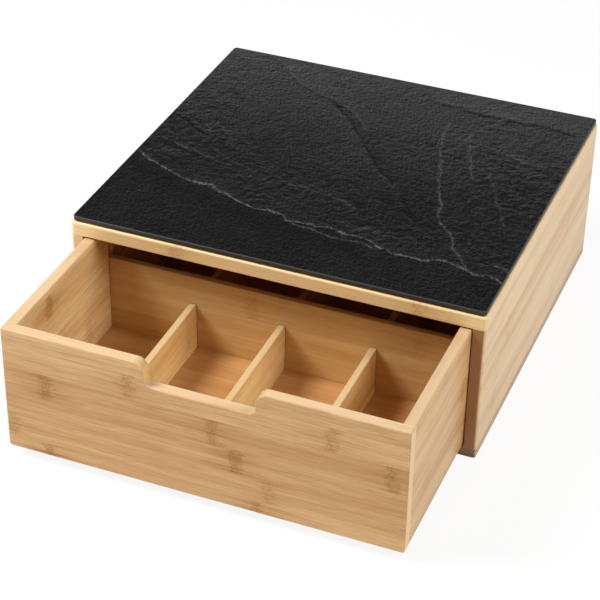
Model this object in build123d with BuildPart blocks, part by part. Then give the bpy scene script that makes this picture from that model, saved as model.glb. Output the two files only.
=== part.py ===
from build123d import *
import os

os.makedirs("parts", exist_ok=True)

# A bamboo box, open at the front, with one drawer and a glass plate on top. Millimetres.
# X runs across the front, -Y points out of the open front and +Z is up. The origin is the
# middle of the case's underside. The drawer stands part of the way out.

# ---- Sizes of the case ----
case_width = 310.0
case_depth = 292.0
opening_height = 100.5
top_board_thickness = 10.5
bottom_board_thickness = 8.0
side_panel_thickness = 9.0
back_panel_thickness = 9.0
case_corner_radius = 2.5
top_arris_radius = 1.5
sole_arris_radius = 1.0

# ---- Sizes of the glass plate and its pads ----
glass_thickness = 4.0
glass_setback = 1.0
glass_corner_radius = 4.0
glass_arris = 0.5
pad_diameter = 12.0
pad_thickness = 0.6
pad_inset = 24.0

# ---- Sizes of the drawer ----
drawer_pull = 121.5
drawer_front_thickness = 8.5
drawer_side_thickness = 8.5
drawer_back_thickness = 8.5
drawer_sole_radius = 2.5
drawer_rim_radius = 1.2
drawer_arris_radius = 0.8
well_rim_chamfer = 0.6
notch_width = 79.0
notch_depth = 18.0
notch_mouth_radius = 8.5
notch_floor_radius = 5.5

# ---- Sizes of the drawer's floor and dividers ----
floor_thickness = 5.0
floor_recess = 6.5
cross_divider_thickness = 5.0
cross_divider_height = 61.0
front_row_depth = 133.5
low_divider_thickness = 5.0
low_divider_height = 38.0
divider_arris_radius = 0.6
floor_groove_depth = 3.5
cross_groove_depth = 3.0
low_groove_depth = 2.0

# ---- Sizes of the dowels ----
case_dowel_diameter = 5.0
case_dowel_length = 20.0
case_dowel_inset = 32.0
top_board_bite = 6.5
bottom_board_bite = 4.5
side_panel_bite = 5.5
drawer_dowel_diameter = 4.0
drawer_dowel_length = 18.0
drawer_dowel_inset = 14.0
drawer_front_bite = 5.5
drawer_side_bite = 5.0

# ---- Clearances ----
drawer_side_gap = 0.8
drawer_top_gap = 1.4
drawer_running_gap = 0.3
drawer_rear_gap = 1.0
floor_slip = 0.2
divider_slip = 0.3
glue_film = 0.1

# ---- Counts ----
column_count = 4
case_dowels_per_joint = 3
back_dowels_per_joint = 2
drawer_dowels_per_joint = 3

# ---- Places that several boards share ----
case_front = -case_depth / 2
case_rear = case_depth / 2
opening_width = case_width - 2 * side_panel_thickness
opening_floor = bottom_board_thickness
opening_roof = opening_floor + opening_height
case_top = opening_roof + top_board_thickness

glass_width = case_width - 2 * glass_setback
glass_depth = case_depth - 2 * glass_setback

drawer_width = opening_width - 2 * drawer_side_gap
drawer_height = opening_height - drawer_running_gap - drawer_top_gap
drawer_depth = case_depth - back_panel_thickness - drawer_rear_gap
drawer_sole = opening_floor + drawer_running_gap
drawer_rim = drawer_sole + drawer_height
drawer_face = case_front - drawer_pull
drawer_tail = drawer_face + drawer_depth

well_width = drawer_width - 2 * drawer_side_thickness
well_front = drawer_face + drawer_front_thickness
well_rear = drawer_tail - drawer_back_thickness
well_depth = well_rear - well_front
well_middle = (well_front + well_rear) / 2
floor_underside = drawer_sole + floor_recess
floor_top = floor_underside + floor_thickness

cross_middle = well_front + front_row_depth + cross_divider_thickness / 2
low_slot_width = low_divider_thickness + 2 * divider_slip
low_slot_top = floor_top + low_divider_height + divider_slip
column_pitch = (well_width + low_divider_thickness) / column_count
low_divider_places = [
    column_pitch * (column - column_count / 2) for column in range(1, column_count)
]


def evenly(first, last, count):
    """Count places from first to last, both included, at equal steps."""
    return [first + (last - first) * step / (count - 1) for step in range(count)]


# ---- Middles of the dowels, whose own axis is Z before it is turned ----
along_x = (0, 90, 0)
along_y = (90, 0, 0)

side_panel_middle = (case_width - side_panel_thickness) / 2
back_panel_middle = case_rear - back_panel_thickness / 2
upright_dowel_heights = (
    opening_roof + top_board_bite - case_dowel_length / 2,
    opening_floor - bottom_board_bite + case_dowel_length / 2,
)
upright_dowel_depths = evenly(
    case_front + case_dowel_inset, case_rear - case_dowel_inset, case_dowels_per_joint
)
back_dowel_reach = opening_width / 2 + side_panel_bite - case_dowel_length / 2
back_dowel_heights = evenly(
    opening_floor + case_dowel_inset, opening_roof - case_dowel_inset, back_dowels_per_joint
)
case_dowel_seats = [
    Location((side * side_panel_middle, y, z))
    for side in (-1, 1)
    for y in upright_dowel_depths
    for z in upright_dowel_heights
] + [
    Location((side * back_dowel_reach, back_panel_middle, z), along_x)
    for side in (-1, 1)
    for z in back_dowel_heights
]

drawer_side_middle = (drawer_width - drawer_side_thickness) / 2
drawer_back_middle = drawer_tail - drawer_back_thickness / 2
front_dowel_reach = well_front - drawer_front_bite + drawer_dowel_length / 2
rear_dowel_reach = well_width / 2 + drawer_side_bite - drawer_dowel_length / 2
drawer_dowel_heights = evenly(
    floor_top + drawer_dowel_inset, drawer_rim - drawer_dowel_inset, drawer_dowels_per_joint
)
drawer_dowel_seats = [
    Location((side * drawer_side_middle, front_dowel_reach, z), along_y)
    for side in (-1, 1)
    for z in drawer_dowel_heights
] + [
    Location((side * rear_dowel_reach, drawer_back_middle, z), along_x)
    for side in (-1, 1)
    for z in drawer_dowel_heights
]


def drill(seats, diameter, length):
    """Bores round the dowels in these seats, wider and deeper by the film of glue."""
    with Locations(*seats):
        Cylinder(diameter / 2 + glue_film, length + 2 * glue_film, mode=Mode.SUBTRACT)


def cut_floor_groove():
    """The groove in the drawer's four boards that holds the edges of its floor."""
    with Locations((0, well_middle, floor_underside)):
        Box(
            well_width + 2 * floor_groove_depth,
            well_depth + 2 * floor_groove_depth,
            floor_thickness + floor_slip,
            align=(Align.CENTER, Align.CENTER, Align.MIN),
            mode=Mode.SUBTRACT,
        )


def cut_well_rim():
    """A small chamfer round the inner rim of the drawer, mitred in its four corners."""
    with BuildSketch(Plane.XY.offset(drawer_rim - well_rim_chamfer)) as well_plan:
        with Locations((0, well_middle)):
            Rectangle(well_width, well_depth)
    extrude(well_plan.sketch, amount=well_rim_chamfer, taper=-45, mode=Mode.SUBTRACT)


def cut_low_divider_grooves():
    """Stopped grooves in the drawer's front and back for the ends of the low dividers."""
    with Locations(*[(x, well_middle, floor_underside) for x in low_divider_places]):
        Box(
            low_slot_width,
            well_depth + 2 * low_groove_depth,
            low_slot_top - floor_underside,
            align=(Align.CENTER, Align.CENTER, Align.MIN),
            mode=Mode.SUBTRACT,
        )


# ---- Case ----
with BuildPart() as bottom_board:
    with BuildSketch():
        RectangleRounded(case_width, case_depth, case_corner_radius)
    extrude(amount=bottom_board_thickness)
    fillet(bottom_board.faces().sort_by(Axis.Z)[0].edges(), sole_arris_radius)
    drill(case_dowel_seats, case_dowel_diameter, case_dowel_length)

with BuildPart() as top_board:
    with BuildSketch(Plane.XY.offset(opening_roof)):
        RectangleRounded(case_width, case_depth, case_corner_radius)
    extrude(amount=top_board_thickness)
    fillet(top_board.faces().sort_by(Axis.Z)[-1].edges(), top_arris_radius)
    drill(case_dowel_seats, case_dowel_diameter, case_dowel_length)

# A side panel stands between the two boards and is rounded at its outer upright edges.
with BuildPart() as right_side_panel:
    with BuildSketch(Plane.XY.offset(opening_floor)) as side_plan:
        with Locations((side_panel_middle, 0)):
            Rectangle(side_panel_thickness, case_depth)
        fillet(side_plan.vertices().group_by(Axis.X)[-1], case_corner_radius)
    extrude(amount=opening_height)
    drill(case_dowel_seats, case_dowel_diameter, case_dowel_length)

with BuildPart() as left_side_panel:
    mirror(right_side_panel.part, about=Plane.YZ)

with BuildPart() as back_panel:
    with BuildSketch(Plane.XY.offset(opening_floor)):
        with Locations((0, back_panel_middle)):
            Rectangle(opening_width, back_panel_thickness)
    extrude(amount=opening_height)
    drill(case_dowel_seats, case_dowel_diameter, case_dowel_length)

with BuildPart() as case_dowels:
    with Locations(*case_dowel_seats):
        Cylinder(case_dowel_diameter / 2, case_dowel_length)

# ---- Glass plate on four pads ----
with BuildPart() as glass_pads:
    with BuildSketch(Plane.XY.offset(case_top)):
        with GridLocations(glass_width - 2 * pad_inset, glass_depth - 2 * pad_inset, 2, 2):
            Circle(pad_diameter / 2)
    extrude(amount=pad_thickness)

with BuildPart() as glass_top:
    with BuildSketch(Plane.XY.offset(case_top + pad_thickness)):
        RectangleRounded(glass_width, glass_depth, glass_corner_radius)
    extrude(amount=glass_thickness)
    chamfer(glass_top.faces().sort_by(Axis.Z)[0].edges(), glass_arris)
    chamfer(glass_top.faces().sort_by(Axis.Z)[-1].edges(), glass_arris)

# ---- Drawer ----
# The front is drawn in elevation, from its rear face. The finger notch in its top edge has
# rounded shoulders at its mouth and tighter corners at its floor.
with BuildPart() as drawer_front:
    with BuildSketch(Plane.XZ.offset(-well_front)) as elevation:
        with Locations((0, drawer_sole)):
            Rectangle(drawer_width, drawer_height, align=(Align.CENTER, Align.MIN))
        with Locations((0, drawer_rim)):
            Rectangle(
                notch_width, notch_depth, align=(Align.CENTER, Align.MAX), mode=Mode.SUBTRACT
            )
        fillet(elevation.vertices().group_by(Axis.Y)[1], notch_floor_radius)
        rim_corners = elevation.vertices().group_by(Axis.Y)[-1].sort_by(lambda v: abs(v.X))
        fillet(rim_corners[:2], notch_mouth_radius)
        rim_corners = elevation.vertices().group_by(Axis.Y)[-1].sort_by(lambda v: abs(v.X))
        fillet(rim_corners[-2:], drawer_rim_radius)
        fillet(elevation.vertices().group_by(Axis.Y)[0], drawer_sole_radius)
    extrude(amount=drawer_front_thickness)
    fillet(drawer_front.faces().sort_by(Axis.Y)[0].edges(), drawer_arris_radius)
    cut_floor_groove()
    cut_well_rim()
    cut_low_divider_grooves()
    drill(drawer_dowel_seats, drawer_dowel_diameter, drawer_dowel_length)

# A side butts against the front's rear face and runs to the drawer's tail.
with BuildPart() as drawer_right_side:
    with BuildSketch(Plane.XZ.offset(-drawer_tail)) as side_section:
        with Locations((drawer_side_middle, drawer_sole)):
            Rectangle(drawer_side_thickness, drawer_height, align=(Align.CENTER, Align.MIN))
        outer_corners = side_section.vertices().group_by(Axis.X)[-1].sort_by(Axis.Y)
        fillet(outer_corners[-1], drawer_rim_radius)
        outer_corners = side_section.vertices().group_by(Axis.X)[-1].sort_by(Axis.Y)
        fillet(outer_corners[0], drawer_sole_radius)
    extrude(amount=drawer_tail - well_front)
    cut_floor_groove()
    cut_well_rim()
    with Locations((0, cross_middle, floor_underside)):
        Box(
            well_width + 2 * cross_groove_depth,
            cross_divider_thickness + 2 * divider_slip,
            drawer_rim - floor_underside,
            align=(Align.CENTER, Align.CENTER, Align.MIN),
            mode=Mode.SUBTRACT,
        )
    drill(drawer_dowel_seats, drawer_dowel_diameter, drawer_dowel_length)

with BuildPart() as drawer_left_side:
    mirror(drawer_right_side.part, about=Plane.YZ)

with BuildPart() as drawer_back:
    with BuildSketch(Plane.XY.offset(drawer_sole)):
        with Locations((0, drawer_back_middle)):
            Rectangle(well_width, drawer_back_thickness)
    extrude(amount=drawer_height)
    cut_floor_groove()
    cut_well_rim()
    cut_low_divider_grooves()
    drill(drawer_dowel_seats, drawer_dowel_diameter, drawer_dowel_length)

with BuildPart() as drawer_floor:
    with BuildSketch(Plane.XY.offset(floor_underside)):
        with Locations((0, well_middle)):
            Rectangle(
                well_width + 2 * (floor_groove_depth - floor_slip),
                well_depth + 2 * (floor_groove_depth - floor_slip),
            )
    extrude(amount=floor_thickness)

with BuildPart() as drawer_dowels:
    with Locations(*drawer_dowel_seats):
        Cylinder(drawer_dowel_diameter / 2, drawer_dowel_length)

# The cross divider slides down its grooves in the sides, and a slot in its lower edge goes
# over each low divider.
with BuildPart() as cross_divider:
    with BuildSketch(Plane.XY.offset(floor_top)):
        with Locations((0, cross_middle)):
            Rectangle(
                well_width + 2 * (cross_groove_depth - divider_slip), cross_divider_thickness
            )
    extrude(amount=cross_divider_height)
    fillet(
        cross_divider.faces().sort_by(Axis.Z)[-1].edges().filter_by(Axis.X),
        divider_arris_radius,
    )
    with Locations(*[(x, cross_middle, floor_top) for x in low_divider_places]):
        Box(
            low_slot_width,
            cross_divider_thickness,
            low_slot_top - floor_top,
            align=(Align.CENTER, Align.CENTER, Align.MIN),
            mode=Mode.SUBTRACT,
        )

low_divider_names = ("left_divider", "middle_divider", "right_divider")
low_dividers = {}
for name, place in zip(low_divider_names, low_divider_places):
    with BuildPart() as low_divider:
        with BuildSketch(Plane.XY.offset(floor_top)):
            with Locations((place, well_middle)):
                Rectangle(
                    low_divider_thickness, well_depth + 2 * (low_groove_depth - divider_slip)
                )
        extrude(amount=low_divider_height)
        fillet(
            low_divider.faces().sort_by(Axis.Z)[-1].edges().filter_by(Axis.Y),
            divider_arris_radius,
        )
    low_dividers[name] = low_divider

# ---- One file for each piece ----
pieces = {
    "glass_top": glass_top,
    "glass_pads": glass_pads,
    "top_board": top_board,
    "bottom_board": bottom_board,
    "left_side_panel": left_side_panel,
    "right_side_panel": right_side_panel,
    "back_panel": back_panel,
    "case_dowels": case_dowels,
    "drawer_front": drawer_front,
    "drawer_left_side": drawer_left_side,
    "drawer_right_side": drawer_right_side,
    "drawer_back": drawer_back,
    "drawer_floor": drawer_floor,
    "drawer_dowels": drawer_dowels,
    "cross_divider": cross_divider,
    **low_dividers,
}
for name, piece in pieces.items():
    piece.part.label = name
    export_step(piece.part, f"parts/{name}.step")
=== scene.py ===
import math
from typing import NamedTuple

import bpy
import numpy as np
from mathutils import Matrix, Vector


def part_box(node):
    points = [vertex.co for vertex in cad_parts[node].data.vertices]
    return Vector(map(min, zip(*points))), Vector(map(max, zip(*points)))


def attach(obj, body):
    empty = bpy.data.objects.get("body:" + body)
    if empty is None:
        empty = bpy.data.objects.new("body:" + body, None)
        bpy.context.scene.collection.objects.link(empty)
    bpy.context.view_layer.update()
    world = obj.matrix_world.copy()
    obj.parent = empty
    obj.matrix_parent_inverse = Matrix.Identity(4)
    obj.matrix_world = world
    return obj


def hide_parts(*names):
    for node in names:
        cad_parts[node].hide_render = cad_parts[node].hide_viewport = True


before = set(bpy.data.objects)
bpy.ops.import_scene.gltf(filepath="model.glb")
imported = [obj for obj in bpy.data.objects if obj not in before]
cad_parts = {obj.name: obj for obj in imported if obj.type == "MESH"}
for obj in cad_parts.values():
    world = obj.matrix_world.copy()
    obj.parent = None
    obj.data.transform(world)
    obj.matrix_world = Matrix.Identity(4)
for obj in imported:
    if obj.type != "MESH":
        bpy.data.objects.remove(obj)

bl_info = {
    "name": "Bamboo drawer box",
    "version": (1, 0, 0),
    "blender": (4, 5, 0),
    "location": "View3D > Sidebar > Drawer box",
    "description": "A bamboo box with one drawer and a slate glass plate on top",
    "category": "Object",
}

MM = 0.001


def srgb(red, green, blue):
    """A colour written as 0 to 255 in sRGB, as the linear values that Blender's sockets take."""
    written = np.array([red, green, blue]) / 255
    linear = np.where(written <= 0.04045, written / 12.92, ((written + 0.055) / 1.055) ** 2.4)
    return tuple(float(value) for value in linear)


# ------------------------ settings


def length_setting(name, description, default, least=0.0):
    """A length that a user can set."""
    return bpy.props.FloatProperty(
        name=name, description=description, default=default, min=least, subtype="DISTANCE",
        unit="LENGTH",
    )


def colour_setting(name, description, default):
    """A colour that a user can set."""
    return bpy.props.FloatVectorProperty(
        name=name, description=description, default=default, size=3, min=0.0, max=1.0,
        subtype="COLOR",
    )


def power_setting(name, description, default):
    """A lamp's power that a user can set."""
    return bpy.props.FloatProperty(
        name=name, description=description, default=default, min=0.0, subtype="POWER",
        unit="POWER",
    )


class SlateSettings(bpy.types.PropertyGroup):
    """The glass plate with its slate relief."""

    cell: length_setting(
        "Relief cell", "Side of one cell of the relief's grid", 1.05 * MM, 0.5 * MM,
    )
    rim_drop: length_setting(
        "Rim drop", "How far the plate's rim lies under its highest crest", 0.3 * MM,
    )
    arris: length_setting("Arris", "Width of the ground arris round the plate", 0.5 * MM)
    corner: length_setting(
        "Corner radius", "Radius of the plate's corners in plan", 3.0 * MM, 1.0 * MM,
    )
    stone: colour_setting("Stone", "Colour of the slate in its hollows", srgb(8, 8, 9))
    pale_stone: colour_setting("Pale stone", "Colour of the slate on its crests", srgb(82, 82, 83))
    vein: colour_setting("Vein", "Colour of the thin mineral veins", srgb(100, 100, 98))
    ground_edge: colour_setting(
        "Ground edge", "Colour of the ground edge of the glass", srgb(66, 63, 57),
    )
    # The arris colour is a painted highlight along the glass's arris.
    ground_arris_highlight: colour_setting(
        "Ground arris", "Colour of the arris of the glass", srgb(92, 92, 86),
    )


class BambooSettings(bpy.types.PropertyGroup):
    """The laminated bamboo of every board."""

    strip: length_setting("Strip width", "Width of one strip of the lamination", 19.2 * MM, 5 * MM)
    knuckle_pitch: length_setting(
        "Knuckle pitch", "Distance between two knuckles of a cane", 142 * MM, 40 * MM,
    )
    pale: colour_setting("Pale cane", "Colour of the palest strips", srgb(226, 185, 129))
    deep: colour_setting("Deep cane", "Colour of the darkest strips", srgb(200, 152, 96))
    fibre: colour_setting("Fibre", "Colour of the fibres and knuckle lines", srgb(163, 107, 38))
    varnish_roughness: bpy.props.FloatProperty(
        name="Varnish roughness", description="Roughness of the satin varnish",
        default=0.42, min=0.0, max=1.0, subtype="FACTOR",
    )


class StudioSettings(bpy.types.PropertyGroup):
    """The floor, the lamps and the camera."""

    floor_colour: colour_setting("Floor", "Colour of the floor", (0.9, 0.9, 0.9))
    floor_side: length_setting("Floor side", "Side of the square floor", 12.0, 2.0)
    sky: bpy.props.FloatProperty(
        name="Sky", description="Strength of the even light from all round", default=0.05, min=0.0,
    )
    key_power: power_setting("Key lamp", "Power of the lamp at the upper left", 30.5)
    fill_power: power_setting("Fill lamp", "Power of the lamp at the right", 18.0)
    back_power: power_setting("Back lamp", "Power of the lamp behind the box", 5.0)
    lens: bpy.props.FloatProperty(
        name="Lens", description="Focal length on a sensor 36 mm wide", default=114.32,
        min=10.0, subtype="DISTANCE_CAMERA",
    )


# ------------------------ node helpers


def put(tree, socket, value):
    """Links a socket to another, or writes a plain value into it."""
    if isinstance(value, bpy.types.NodeSocket):
        tree.links.new(value, socket)
    else:
        socket.default_value = value


def add(tree, kind, inputs=None, **settings):
    """Adds a node with these properties and these inputs, and returns it."""
    made = tree.nodes.new(kind)
    for name, value in settings.items():
        setattr(made, name, value)
    for name, value in (inputs or {}).items():
        put(tree, made.inputs[name], value)
    return made


def calc(tree, operation, *values, clamp=False):
    """A Math node's result."""
    made = add(tree, "ShaderNodeMath", dict(enumerate(values)), operation=operation)
    made.use_clamp = clamp
    return made.outputs[0]


def ramp_to(tree, value, low, high, to_low=0.0, to_high=1.0):
    """The value eased from low..high to to_low..to_high, and held beyond them."""
    names = ("Value", "From Min", "From Max", "To Min", "To Max")
    inputs = dict(zip(names, (value, low, high, to_low, to_high)))
    return add(tree, "ShaderNodeMapRange", inputs, interpolation_type="SMOOTHSTEP").outputs[0]


def mix(tree, share, first, second):
    """Two colours mixed; a share of 0 is the first."""
    made = add(tree, "ShaderNodeMix", data_type="RGBA")
    for index, value in ((0, share), (6, first), (7, second)):
        put(tree, made.inputs[index], value)
    return made.outputs[2]


def noise(tree, place, cells, detail=2.0, roughness=0.5):
    """Noise from 0 to 1 with this many cells in a metre, all ways alike or axis by axis."""
    if isinstance(cells, tuple):
        product = {0: place, 1: cells}
        place = add(tree, "ShaderNodeVectorMath", product, operation="MULTIPLY").outputs[0]
        cells = 1.0
    inputs = {"Vector": place, "Scale": cells, "Detail": detail, "Roughness": roughness}
    return add(tree, "ShaderNodeTexNoise", inputs).outputs[0]


def shifted(tree, place, shift):
    """A place moved by a vector."""
    made = add(tree, "ShaderNodeVectorMath", {0: place, 1: shift}, operation="ADD")
    return made.outputs[0]


def facing(tree, normal, axis):
    """How far a normal points along an axis, from -1 to 1."""
    made = add(tree, "ShaderNodeVectorMath", {0: normal, 1: axis}, operation="DOT_PRODUCT")
    return made.outputs["Value"]


def split(tree, place):
    """A place's X, Y and Z."""
    return add(tree, "ShaderNodeSeparateXYZ", {0: place}).outputs


def table_of(tree, value, rows, interpolation):
    """A ramp node's outputs, for rows of a place and the four values that it gives there."""
    table = add(tree, "ShaderNodeValToRGB", {"Fac": value})
    table.color_ramp.interpolation = interpolation
    elements = table.color_ramp.elements
    for index, (place, *values) in enumerate(rows):
        stop = elements[index] if index < 2 else elements.new(place)
        stop.position = place
        stop.color = values
    if len(rows) < 2:
        elements.remove(elements[1])
    return table.outputs


def graded(tree, value, stops):
    """A grey read off the straight lines through these places and heights."""
    rows = [(place, height, height, height, 1.0) for place, height in stops]
    return table_of(tree, value, rows, "LINEAR")["Color"]


def new_group(name, inputs, outputs):
    """An empty node group with named sockets, what it takes in and what it gives out."""
    group = bpy.data.node_groups.new(name, "ShaderNodeTree")
    for label, kind, value in inputs:
        socket = group.interface.new_socket(label, in_out="INPUT", socket_type=kind)
        if value is not None:
            socket.default_value = value
    for label, kind in outputs:
        group.interface.new_socket(label, in_out="OUTPUT", socket_type=kind)
    ins = group.nodes.new("NodeGroupInput").outputs
    outs = group.nodes.new("NodeGroupOutput").inputs
    return group, ins, outs


def use_group(tree, name, inputs):
    """Places a group that has been built in a tree."""
    made = tree.nodes.new("ShaderNodeGroup")
    made.node_tree = bpy.data.node_groups[name]
    for label, value in inputs.items():
        put(tree, made.inputs[label], value)
    return made


def new_material(name):
    """A material with an empty tree, and its Principled shader."""
    material = bpy.data.materials.new(name)
    material.use_nodes = True
    tree = material.node_tree
    tree.nodes.clear()
    shader = tree.nodes.new("ShaderNodeBsdfPrincipled")
    output = tree.nodes.new("ShaderNodeOutputMaterial")
    tree.links.new(shader.outputs[0], output.inputs[0])
    return material, tree, shader


def opaque(colour):
    """A colour with full alpha."""
    return (*colour[:3], 1.0)


# ------------------------ shared effects


VECTOR = "NodeSocketVector"
COLOUR = "NodeSocketColor"
FLOAT = "NodeSocketFloat"


def build_arris_group():
    """Arris highlights: how far the surface's normal leaves the normal rounded over a small radius,
    as a mask for a painted highlight, together with that rounded normal."""
    group, ins, outs = new_group(
        "worn_arris",
        [("Radius", FLOAT, 1.0 * MM), ("Gain", FLOAT, 2.5)],
        [("Mask", FLOAT), ("Normal", VECTOR)],
    )
    rounded = add(group, "ShaderNodeBevel", {"Radius": ins["Radius"]}, samples=6)
    flat = add(group, "ShaderNodeNewGeometry")
    same = facing(group, rounded.outputs[0], flat.outputs["True Normal"])
    bend = calc(group, "SUBTRACT", 1.0, same)
    mask = calc(group, "MULTIPLY", bend, ins["Gain"], clamp=True)
    put(group, outs["Mask"], mask)
    put(group, outs["Normal"], rounded.outputs[0])


# Cells of noise in a metre along the canes, across the strips and through the board.
WAVE_CELLS = (5.0, 22.0, 22.0)
BROAD_CELLS = (4.0, 90.0, 90.0)
STREAK_CELLS = (13.0, 420.0, 420.0)
FINE_CELLS = (45.0, 1300.0, 1300.0)
CRUMPLE_CELLS = (190.0, 260.0, 260.0)
DOT_CELLS = (900.0, 900.0, 900.0)

# How far the fibres sway, how far the band and the haze of a knuckle reach, how far its lines
# are crumpled, and the distance between two of them.
FIBRE_SWAY = 6 * MM
BAND_REACH = 7.5 * MM
BAND_CORE = 0.5 * MM
HAZE_REACH = 30 * MM
HAZE_CORE = 2 * MM
LINE_CRUMPLE = 20 * MM
LINE_PITCH = 3.4 * MM

# Shares of the fibre colour in streaks, fine fibres and the three parts of a knuckle.
STREAK_SHARE = 0.35
FINE_SHARE = 0.49
LINE_SHARE = 0.68
BAND_SHARE = 0.34
HAZE_SHARE = 0.39


def build_bamboo_group():
    """Laminated bamboo. Grain is a place whose X runs along the canes, Y across the strips
    and Z through the board. Strip holds a strip's tone, the place of its knuckles as a share
    of their distance, and their strength, as red, green and blue. The distance of a strip's
    knuckles is the knuckle pitch times its spread and a half."""
    group, ins, outs = new_group(
        "laminated_bamboo",
        [
            ("Grain", VECTOR, None),
            ("Strip", COLOUR, (0.5, 0.5, 0.5, 1.0)),
            ("Spread", FLOAT, 0.5),
            ("Knuckle Pitch", FLOAT, 142 * MM),
            ("Pale", COLOUR, (1, 1, 1, 1)),
            ("Deep", COLOUR, (1, 1, 1, 1)),
            ("Fibre", COLOUR, (1, 1, 1, 1)),
            ("Fibre Share", FLOAT, 0.5),
            ("End Grain", FLOAT, 0.0),
            ("End", COLOUR, (1, 1, 1, 1)),
            ("Seed", FLOAT, 0.0),
        ],
        [("Color", COLOUR), ("Height", FLOAT), ("Gloss", FLOAT)],
    )
    offset = add(group, "ShaderNodeCombineXYZ", {"Z": ins["Seed"]})
    place = shifted(group, ins["Grain"], offset.outputs[0])
    parts = split(group, ins["Grain"])
    strip = add(group, "ShaderNodeSeparateColor", {0: ins["Strip"]}).outputs

    # The canes are not quite straight, so the fibres wave a little.
    wave = noise(group, place, WAVE_CELLS, 1.0)
    sway = calc(group, "MULTIPLY", calc(group, "SUBTRACT", wave, 0.5), FIBRE_SWAY)
    swayed = add(group, "ShaderNodeCombineXYZ", {"Y": sway})
    place = shifted(group, place, swayed.outputs[0])
    broad = noise(group, place, BROAD_CELLS, 2.0)
    streak = noise(group, place, STREAK_CELLS, 3.0, 0.6)
    fine = noise(group, place, FINE_CELLS, 3.0, 0.65)

    # A knuckle is a narrow band of crumpled lines across a strip, in a darker haze. The count
    # of knuckles is shifted to stay above 0, and picks how strong each one is.
    pitch = calc(group, "MULTIPLY", ins["Knuckle Pitch"], calc(group, "ADD", ins["Spread"], 0.5))
    turns = calc(
        group, "ADD", calc(group, "DIVIDE", parts["X"], pitch),
        calc(group, "ADD", strip["Green"], 20.0),
    )
    nearest = calc(group, "ROUND", turns)
    cane = add(
        group, "ShaderNodeTexWhiteNoise",
        {"W": calc(group, "ADD", nearest, calc(group, "MULTIPLY", strip["Green"], 57.0))},
        noise_dimensions="1D",
    ).outputs["Value"]
    along = calc(group, "MULTIPLY", calc(group, "SUBTRACT", turns, nearest), pitch)
    crumple = noise(group, place, CRUMPLE_CELLS, 3.0, 0.65)
    crumple = calc(group, "MULTIPLY", calc(group, "SUBTRACT", crumple, 0.5), LINE_CRUMPLE)
    bent = calc(group, "ADD", along, crumple)
    band = ramp_to(group, calc(group, "ABSOLUTE", bent), BAND_REACH, BAND_CORE)
    haze = ramp_to(group, calc(group, "ABSOLUTE", along), HAZE_REACH, HAZE_CORE)
    rings = calc(group, "SINE", calc(group, "MULTIPLY", bent, 2 * math.pi / LINE_PITCH))
    lines = ramp_to(group, rings, 0.0, 0.95)
    strength = calc(
        group, "MULTIPLY", strip["Blue"], ramp_to(group, cane, 0.0, 0.8, 0.6, 1.0)
    )
    band_mask = calc(group, "MULTIPLY", band, strength)
    line_mask = calc(group, "MULTIPLY", band_mask, lines)
    haze_mask = calc(
        group, "MULTIPLY", calc(group, "MULTIPLY", haze, strength),
        ramp_to(group, streak, 0.3, 0.7, 0.25, 1.0),
    )

    tone = calc(group, "ADD", strip["Red"], ramp_to(group, broad, 0.3, 0.7, -0.35, 0.35),
                clamp=True)
    cane_colour = mix(group, tone, ins["Deep"], ins["Pale"])
    dark = calc(
        group, "ADD",
        ramp_to(group, streak, 0.42, 0.76, 0.0, STREAK_SHARE),
        ramp_to(group, fine, 0.40, 0.72, 0.0, FINE_SHARE),
    )
    dark = calc(group, "MULTIPLY", dark, ins["Fibre Share"])
    knuckle = calc(
        group, "ADD",
        calc(group, "MULTIPLY", line_mask, LINE_SHARE),
        calc(group, "ADD", calc(group, "MULTIPLY", band_mask, BAND_SHARE),
             calc(group, "MULTIPLY", haze_mask, HAZE_SHARE)),
    )
    dark = calc(group, "ADD", dark, knuckle, clamp=True)
    colour = mix(group, dark, cane_colour, ins["Fibre"])

    # Sawn ends soak up the varnish, and show the fibres as close dots.
    dots = noise(group, place, DOT_CELLS, 2.0, 0.7)
    ends = mix(group, ramp_to(group, dots, 0.45, 0.75, 0.0, 0.3), ins["End"], ins["Fibre"])
    colour = mix(group, ins["End Grain"], colour, ends)

    height = calc(group, "SUBTRACT", calc(group, "MULTIPLY", fine, 0.5), line_mask)
    put(group, outs["Color"], colour)
    put(group, outs["Height"], height)
    put(group, outs["Gloss"], ramp_to(group, streak, 0.3, 0.7, -0.05, 0.07))


# ------------------------ bamboo boards


# Turns that bring a board's canes to X and its strips' widths to Y.
ALONG_X_UPRIGHT = Matrix(((1, 0, 0), (0, 0, 1), (0, -1, 0)))
ALONG_Y_UPRIGHT = Matrix(((0, 1, 0), (0, 0, 1), (1, 0, 0)))
ALONG_X_LYING = Matrix(((1, 0, 0), (0, 1, 0), (0, 0, 1)))

# Painted light: the colour of the narrow edges on top stands in for light falling on them from
# above, and the arris colour for a highlight along the arrises.
TOP_EDGE_PAINTED_LIGHT = srgb(190, 168, 136)
ARRIS_PAINTED_HIGHLIGHT = srgb(212, 188, 150)
# Boards that are lower than this lie flat, and have no narrow edge on top.
LYING_HEIGHT = 12 * MM
# Shares of the painted shade's dark colour from the foot of a board to its top: a dark foot as
# painted contact shadow, a paler band, and a darker line under the joint. Then the shares of black
# in the painted shadow on its front edge.
FOOT_PAINTED_SHADE_SHARES = ((0.0, 0.9), (0.26, 0.5), (0.68, 0.5), (0.76, 0.85), (0.82, 0.85), (0.90, 0.0))
FRONT_PAINTED_SHADOW_SHARES = ((0.35, 0.6), (0.6, 0.0))


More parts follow.
